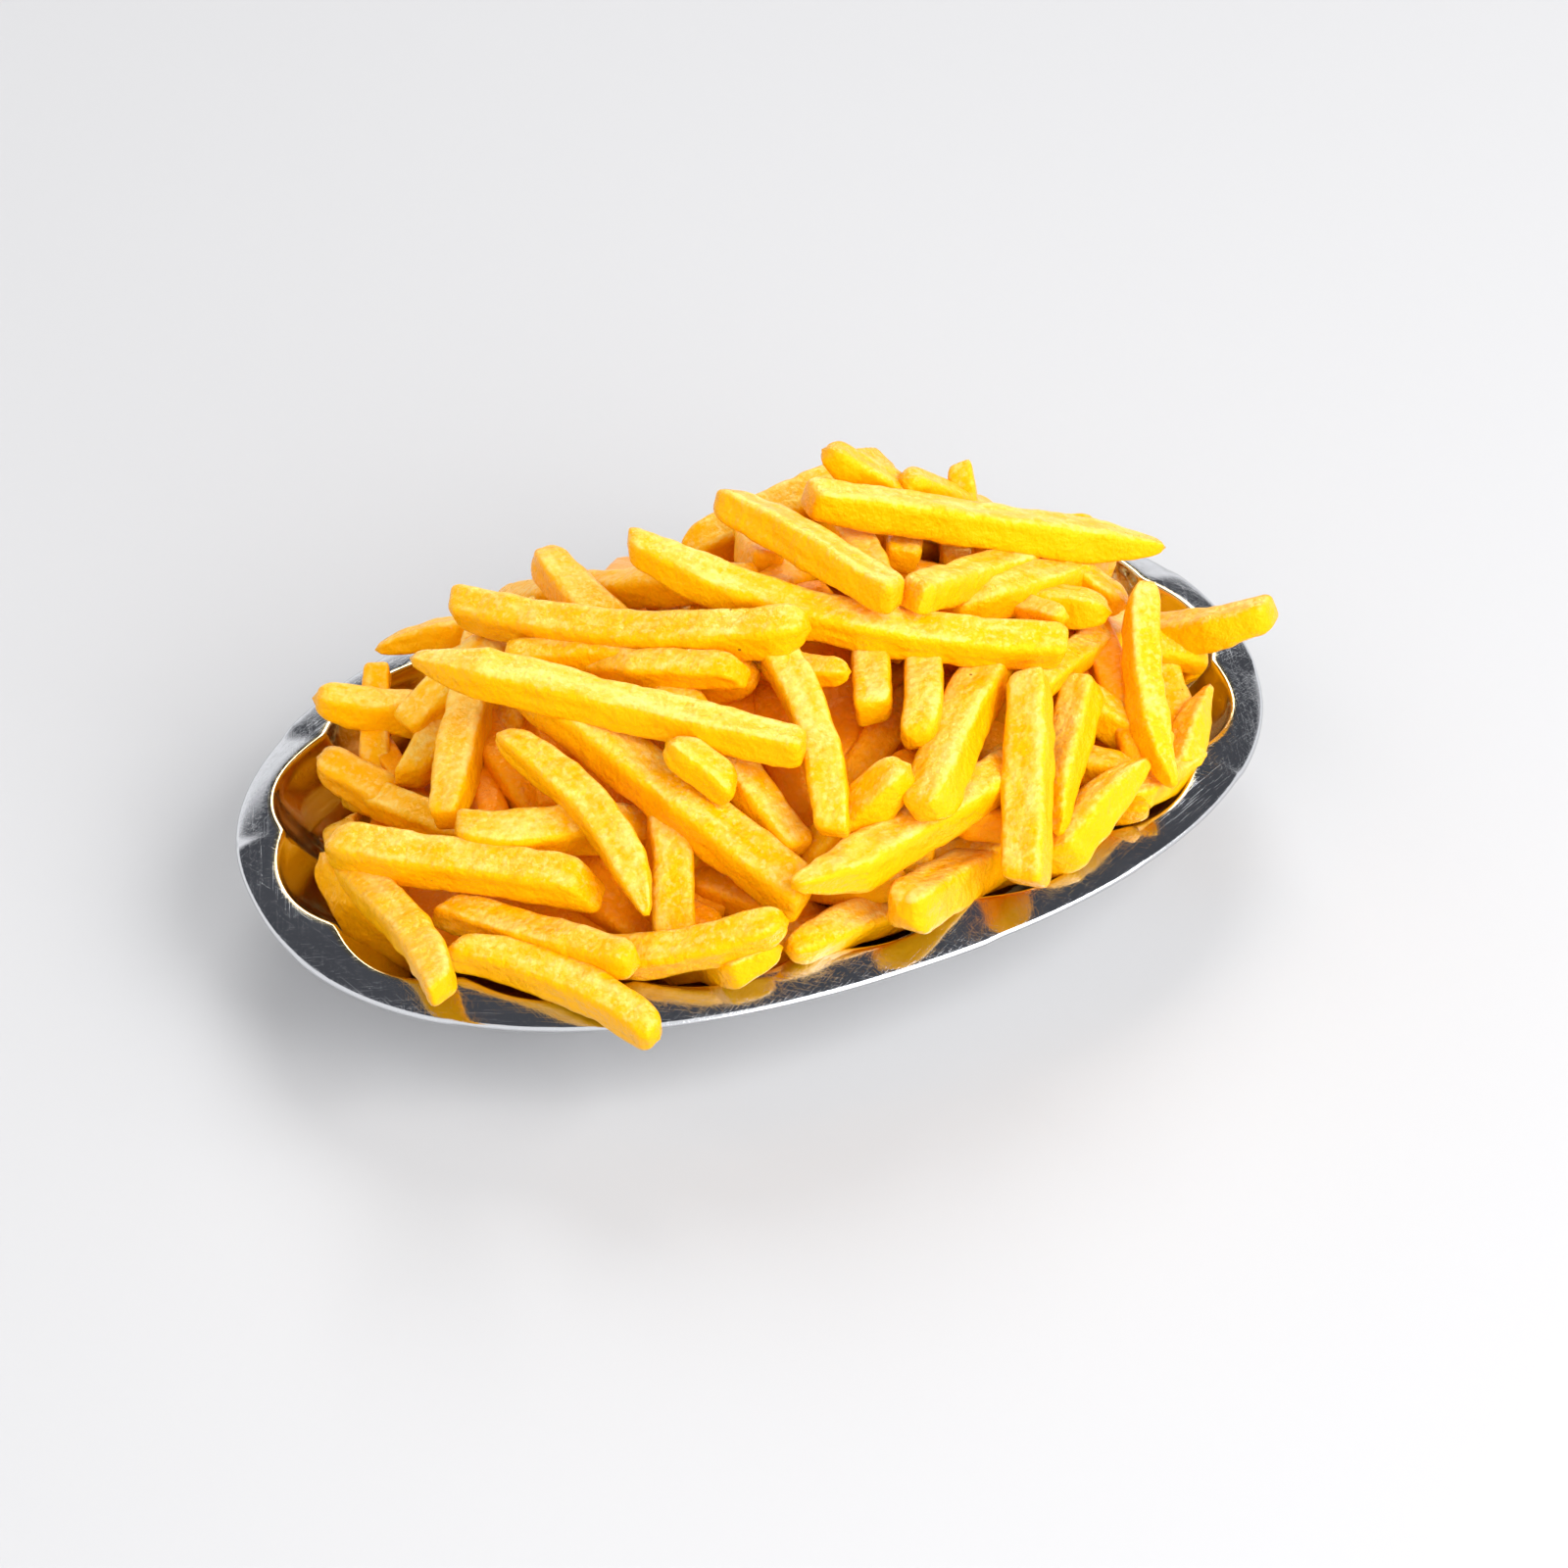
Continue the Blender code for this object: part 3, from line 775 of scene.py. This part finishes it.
def fryPoints(fry, draw, around, ringStep):
    thick, style = fry["thick"], fry["style"]
    length = np.linalg.norm(fry["end"] - fry["start"])
    nose = np.array([0, 0.12, 0.35, 0.7, 1.15, 1.7, 2.4])
    nose = nose[nose < length / 2 - 0.5]
    middle = np.linspace(nose[-1], length - nose[-1], max(3, int((length - 2 * nose[-1]) / ringStep)))
    depth = np.concatenate([nose[:-1], middle, length - nose[:-1][::-1]])
    t = depth / length
    spine, along, side = spineOf(fry, depth)
    up = np.cross(side, along)
    roll = draw.normal(0, fryShape["roll"])
    waves = draw.normal(0, 1, 4)
    spine = spine + np.outer(fryShape["waver"] * waves[0] * np.sin(math.pi * 2 * t + waves[1] * 3), side)
    spine = spine + np.outer(fryShape["waver"] * waves[2] * np.sin(math.pi * (1.5 * t + waves[3])), up)

    angle = (np.arange(around) + 0.5) * 2 * math.pi / around
    twist = roll + draw.normal(0, 0.10) * (t - 0.5) * 2
    power = draw.uniform(*fryShape["squareness"])
    radius = (np.abs(np.cos(angle)) ** power + np.abs(np.sin(angle)) ** power) ** (-1 / power)
    wide, high = thick / 2 * (1 + draw.normal(0, 0.03)), thick / 2 * (0.97 + draw.normal(0, 0.035))
    seed = draw.uniform(0, 500, 3)
    taper = 1 + 0.05 * draw.normal() * (t - 0.5) * 2
    size = taper * endScale(depth, style[0], thick) * endScale(length - depth, style[1], thick)
    for gap in (depth, length - depth):
        size = size * (1 - draw.uniform(0.02, fryShape["thinner"]) * np.clip(1 - gap / 14, 0, 1) ** 1.3)
    size = size * (1 + 0.035 * lumps(np.outer(depth, (1, 0, 0)) + seed, 11))
    # faces sink or swell between the edges, each in its own way
    face = np.round(angle / (math.pi / 2))
    grid = np.stack(np.broadcast_arrays(depth[:, None], face[None, :] * 31.7, 0.0), axis=-1).reshape(-1, 3)
    sink = lumps(grid + seed, 14).reshape(len(depth), around) * 1.2 + 0.5
    sink = 1 - fryShape["sunken"] * sink * (1 + np.cos(4 * angle))[None, :] / 2
    x = radius * np.cos(angle) * wide * size[:, None] * sink
    y = radius * np.sin(angle) * high * size[:, None] * sink
    cosT, sinT = np.cos(twist)[:, None], np.sin(twist)[:, None]
    x, y = x * cosT - y * sinT, x * sinT + y * cosT
    # slanted cuts: an end's rings lean, less and less towards the middle
    cut = np.zeros_like(x)
    for sign, gap, letter in ((1, depth, style[0]), (-1, length - depth, style[1])):
        lean = draw.normal(0, 0.22 if letter == "b" else 0.10, 2)
        fade = np.clip(1 - gap / thick, 0, 1) ** 1.5
        cut += sign * (x * lean[0] + y * lean[1]) * fade[:, None]
        if letter == "p":
            offset = draw.choice([-1, 1]) * 0.34 * thick * np.clip(1 - gap / (thick * 1.7), 0, 1) ** 1.4
            y = y + offset[:, None] * 0.7
            x = x + offset[:, None] * 0.5
    points = spine[:, None] + x[..., None] * side + y[..., None] * up + cut[..., None] * along
    flat = points.reshape(-1, 3)
    out = (points - spine[:, None]).reshape(-1, 3)
    out /= np.linalg.norm(out, axis=1)[:, None] + 1e-6
    relief = fryShape["swell"] * lumps(flat + seed, 5.5) + fryShape["blister"] * lumps(flat + seed, 2.3)
    relief += fryShape["blister"] * 0.9 * np.abs(lumps(flat * (1, 1, 1.3) + seed * 2, 3.1)) ** 1.5
    fade = np.clip(np.minimum(depth, length - depth) / 3 + 0.35, 0, 1)
    flat = flat + out * (relief * np.repeat(fade, around))[:, None]
    hubs = []
    for ring, way in ((0, -1), (-1, 1)):
        rim = flat.reshape(len(depth), around, 3)[ring]
        hubs.append(rim.mean(axis=0) + along * way * 0.12 * thick * (0.4 if style[ring] == "b" else 1))
    notes = {
        "edge": np.tile(np.abs(np.sin(2 * angle)) ** 5, len(depth)),
        "tip": np.repeat(np.exp(-np.minimum(depth, length - depth) / 3.2), around),
        "tone": np.full(len(flat), fry["tone"]),
        "fryPlace": seed + np.stack([np.repeat(depth, around), np.tile(np.cos(angle) * thick / 2, len(depth)),
                                     np.tile(np.sin(angle) * thick / 2, len(depth))], axis=1),
    }
    for name, values in notes.items():
        notes[name] = np.concatenate([values, values[:1], values[-1:]])
    notes["edge"][-2:] = 0
    return np.vstack([flat, hubs]), len(depth), notes


def makeFries(name, fries, material, seed, around=fryShape["around"], ringStep=fryShape["ringStep"]):
    draw = np.random.default_rng(seed)
    points, faces, notes, first = [], [], {}, 0
    for fry in fries:
        shape, rings, fryNotes = fryPoints(fry, draw, around, ringStep)
        points.append(shape)
        faces += ringFaces(rings, around, first)
        last = first + (rings - 1) * around
        faces += fanFaces(list(range(first, first + around)), first + rings * around, True)
        faces += fanFaces(list(range(last, last + around)), first + rings * around + 1, False)
        first += len(shape)
        for note, values in fryNotes.items():
            notes.setdefault(note, []).append(values)
    notes = {note: np.concatenate(values) for note, values in notes.items()}
    points = np.vstack(points) * mm + (0, 0, rimHeight)
    piece = buildMesh(name, points, faces, material, notes)
    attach(piece, "root")
    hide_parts("fries")
    print(name, "made:", len(fries), "fries,", sum(len(face) - 2 for face in faces), "triangles")
    return piece


crust = {
    "gold": (0.97, 0.455, 0.001),
    # pale cream: partly the fry's own pale patches, partly a painted sheen on the tops
    "creamAndSheen": (0.99, 0.70, 0.16),
    "dry": (1.0, 0.82, 0.32),           # painted glints: pale specks on the tops, where the light would catch the wrinkles
    # deep orange, partly painted shade: the saturated orange of the gaps, on fries of deep tone and on the core
    "deep": (0.97, 0.27, 0.0005),
    "toasted": (0.90, 0.32, 0.001),
    "speck": (0.10, 0.05, 0.01),
    "sheen": (1.0, 0.80, 0.08),
    "roughness": 0.23,
    "glow": 0.10,             # light that soaks in and comes out again close by
    "glowReach": (0.0045, 0.0020, 0.0003),
    "blisterDepth": 0.00048,
}


def crustMaterial():
    material, f = newMaterial("fryCrust")
    place = f.node("ShaderNodeTexCoord", out="Object")
    tone = f.node("ShaderNodeAttribute", {"attribute_name": "tone"}, out="Fac")
    edge = f.node("ShaderNodeAttribute", {"attribute_name": "edge"}, out="Fac")
    tip = f.node("ShaderNodeAttribute", {"attribute_name": "tip"}, out="Fac")
    along = f.node("ShaderNodeAttribute", {"attribute_name": "fryPlace"}, out="Vector")
    patches = f.noise(place, 0.009, detail=2)
    bands = f.noise(along, 3.0, detail=2, stretch=(0.25, 1, 1))
    mottle = f.noise(place, 0.0018, detail=3, rough=0.60)
    grain = f.noise(place, 0.0006, detail=2)
    blisters = f.node("ShaderNodeTexVoronoi", {"feature": "SMOOTH_F1"},
                      {"Vector": place, "Scale": 700.0, "Smoothness": 0.6})
    normal = f.node("ShaderNodeNewGeometry", out="Normal")
    # how much a face turns up; the faces that turn up are painted paler below, a painted sheen
    above = f.node("ShaderNodeSeparateXYZ", None, {0: normal}, out="Z").step(0.30, 0.95)
    # pale cream: random bands and mottling give the fry's own pale patches, the faces that turn up add a painted
    # sheen
    creamAndSheen = (bands * 0.9 + mottle * 0.7 + above * 0.65 + edge * 0.12 - tone * 0.30).step(1.18, 1.80)
    colour = f.mix(creamAndSheen, crust["gold"], crust["creamAndSheen"])
    # painted highlight: pale specks on the faces that turn up, standing in for glints off the wrinkles
    spots = (f.noise(place, 0.0013, detail=2) + bands * 0.25).step(0.62, 0.80)
    colour = f.mix(spots * above * 0.30, colour, crust["dry"])
    # painted shade as well: a deep tone turns the fries in the gaps, the packed fries and the core a saturated
    # orange
    colour = f.mix(tone.step(0.45, 1.0) * 0.8, colour, crust["deep"])
    browning = (tip * 0.6 + patches * 0.6).step(0.50, 1.1)
    colour = f.mix(browning * 0.35, colour, crust["toasted"])
    specks = f.node("ShaderNodeTexVoronoi", None, {"Vector": place, "Scale": 75.0}).step(0.032, 0.02)
    colour = f.mix(specks * 0.8, colour, crust["speck"])
    height = mottle * 0.7 + grain * 0.35 - blisters * 0.4
    bump = f.node("ShaderNodeBump", None, {"Strength": 1.0, "Distance": crust["blisterDepth"], "Height": height})
    shader = f.node("ShaderNodeBsdfPrincipled", None, {
        "Base Color": colour,
        "Roughness": crust["roughness"] + mottle * 0.15 - tip * 0.05,
        "IOR": 1.5,
        "Specular IOR Level": 0.55,
        "Subsurface Weight": crust["glow"],
        "Subsurface Radius": crust["glowReach"],
        "Subsurface Scale": 1.0,
        "Specular Tint": crust["sheen"],
        "Normal": bump,
    })
    f.node("ShaderNodeOutputMaterial", None, {"Surface": shader})
    return material


crustFinish = crustMaterial()
front = layFront([goOn(fry) for fry in placedFries])
back = tuckUnder([goOn(fry) for fry in backFries], front)
others = settle(front, back + hiddenFries())
back, packed = tuckUnder(others[:len(back)], front), outOfTheWay(others[len(back):], front)
print("far slope:", len(back), "fries, packed inside:", len(packed))
onShow = sorted(front + back, key=lambda fry: fry["tone"])
third = len(onShow) // 3
makeFries("paleFries", onShow[:third], crustFinish, 1)
makeFries("goldenFries", onShow[third:2 * third], crustFinish, 2)
makeFries("deepFries", onShow[2 * third:], crustFinish, 3)
makeFries("hiddenFries", packed, crustFinish, 4, 24, 1.6)


def makeCore(material):
    # the packed middle, deep under the fries
    rings, around = 14, 48
    points = []
    for ring in range(rings):
        share = math.cos(math.pi / 2 * ring / rings)
        angle = np.arange(around) * 2 * math.pi / around
        x, y = outlinePoints(angle, 168 * share, 92 * share, dish["power"])
        top = np.array([max(heapHeight(px, py) - heap["coreDepth"], -12) for px, py in zip(x, y)])
        points.append(np.stack([x, y, top], axis=1))
    foot = dish["sheet"] + 1 - rimHeight / mm
    low = np.stack([*outlinePoints(angle, 150, 76, dish["power"]), np.full(around, foot)], axis=1)
    points = np.vstack([low] + points)
    points[around:] += lumps(points[around:], 9)[:, None] * (0, 0, 1.5)
    hubs = [(0, 0, foot), (0, 0, heapHeight(0, 0) - heap["coreDepth"])]
    faces = ringFaces(rings + 1, around)
    faces += fanFaces(list(range(around)), len(points), True)
    faces += fanFaces(list(range(rings * around, (rings + 1) * around)), len(points) + 1, False)
    # the core takes the deepest tone: painted shade where it shows in the gaps
    notes = {"tone": np.full(len(points) + 2, 1.0)}
    points = np.vstack([points, hubs]) * mm + (0, 0, rimHeight)
    piece = buildMesh("packedCore", points, faces, material, notes)
    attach(piece, "root")
    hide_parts("fries")
    return piece


makeCore(crustFinish)
print("core made")


studio = {
    "floor": (0.59, 0.59, 0.595),
    "keyPower": 14,
    "keySize": 1.1,
    "keyPlace": (0.66, -0.84, 1.02),
    "fillPower": 5,
    "fillSize": 0.8,
    "fillPlace": (0.30, -1.05, 0.34),    # reaches in under the flange
    "wall": (1.15, 1.15, 1.17),
    "dark": (0.09, 0.093, 0.105),
    "darkHeight": 54,         # degrees up, beyond the dish
    "darkEdge": (0.66, 0.77),
    "glow": (6.5, 6.5, 6.5),  # seen only in the sheen of the fries' tops
    "glowHeight": 38,
    "glowEdge": (0.945, 0.98),
}


def addLight(name, place, target, power, size):
    lamp = bpy.data.lights.new(name, "AREA")
    lamp.shape, lamp.size, lamp.energy = "DISK", size, power
    light = bpy.data.objects.new(name, lamp)
    light.location = place
    light.rotation_euler = (Vector(target) - Vector(place)).to_track_quat("-Z", "Y").to_euler()
    bpy.context.scene.collection.objects.link(light)


def makeStudio():
    material, f = newMaterial("paleFloor")
    shader = f.node("ShaderNodeBsdfPrincipled", None, {
        "Base Color": studio["floor"], "Roughness": 0.75, "Specular IOR Level": 0.2})
    f.node("ShaderNodeOutputMaterial", None, {"Surface": shader})
    corners = np.array([(-3, -3, 0), (3, -3, 0), (3, 3, 0), (-3, 3, 0)], float)
    floor = buildMesh("floor", corners, [(0, 1, 2, 3)], material)

    world = bpy.data.worlds.new("studioRoom")
    bpy.context.scene.world = world
    world.use_nodes = True
    w = Finish(world.node_tree)
    ray = w.node("ShaderNodeTexCoord", out="Generated")
    turn = math.radians(view["turn"])
    wall = studio["wall"]
    for patch in ("dark", "glow"):
        height = math.radians(studio[patch + "Height"])
        toward = (-math.sin(turn) * math.cos(height), math.cos(turn) * math.cos(height), math.sin(height))
        facing = w.node("ShaderNodeVectorMath", {"operation": "DOT_PRODUCT"}, {0: ray, 1: toward}, out="Value")
        wall = w.mix(facing.step(*studio[patch + "Edge"]), wall, studio[patch])
    back = w.node("ShaderNodeBackground", None, {"Color": wall})
    w.node("ShaderNodeOutputWorld", None, {"Surface": back})
    for name in ("key", "fill"):
        addLight(name + "Light", studio[name + "Place"], (0, 0, 0.03), studio[name + "Power"], studio[name + "Size"])


def makeCamera():
    right, up, back, eye = viewAxes()
    data = bpy.data.cameras.new("view")
    data.lens, data.sensor_width = view["lens"], 36
    data.clip_start, data.clip_end = 0.01, 20
    camera = bpy.data.objects.new("view", data)
    camera.location = Vector((0, 0, rimHeight)) + eye * mm
    camera.rotation_euler = back.to_track_quat("Z", "Y").to_euler()
    bpy.context.scene.collection.objects.link(camera)
    bpy.context.scene.camera = camera


makeStudio()
makeCamera()
print("studio ready")
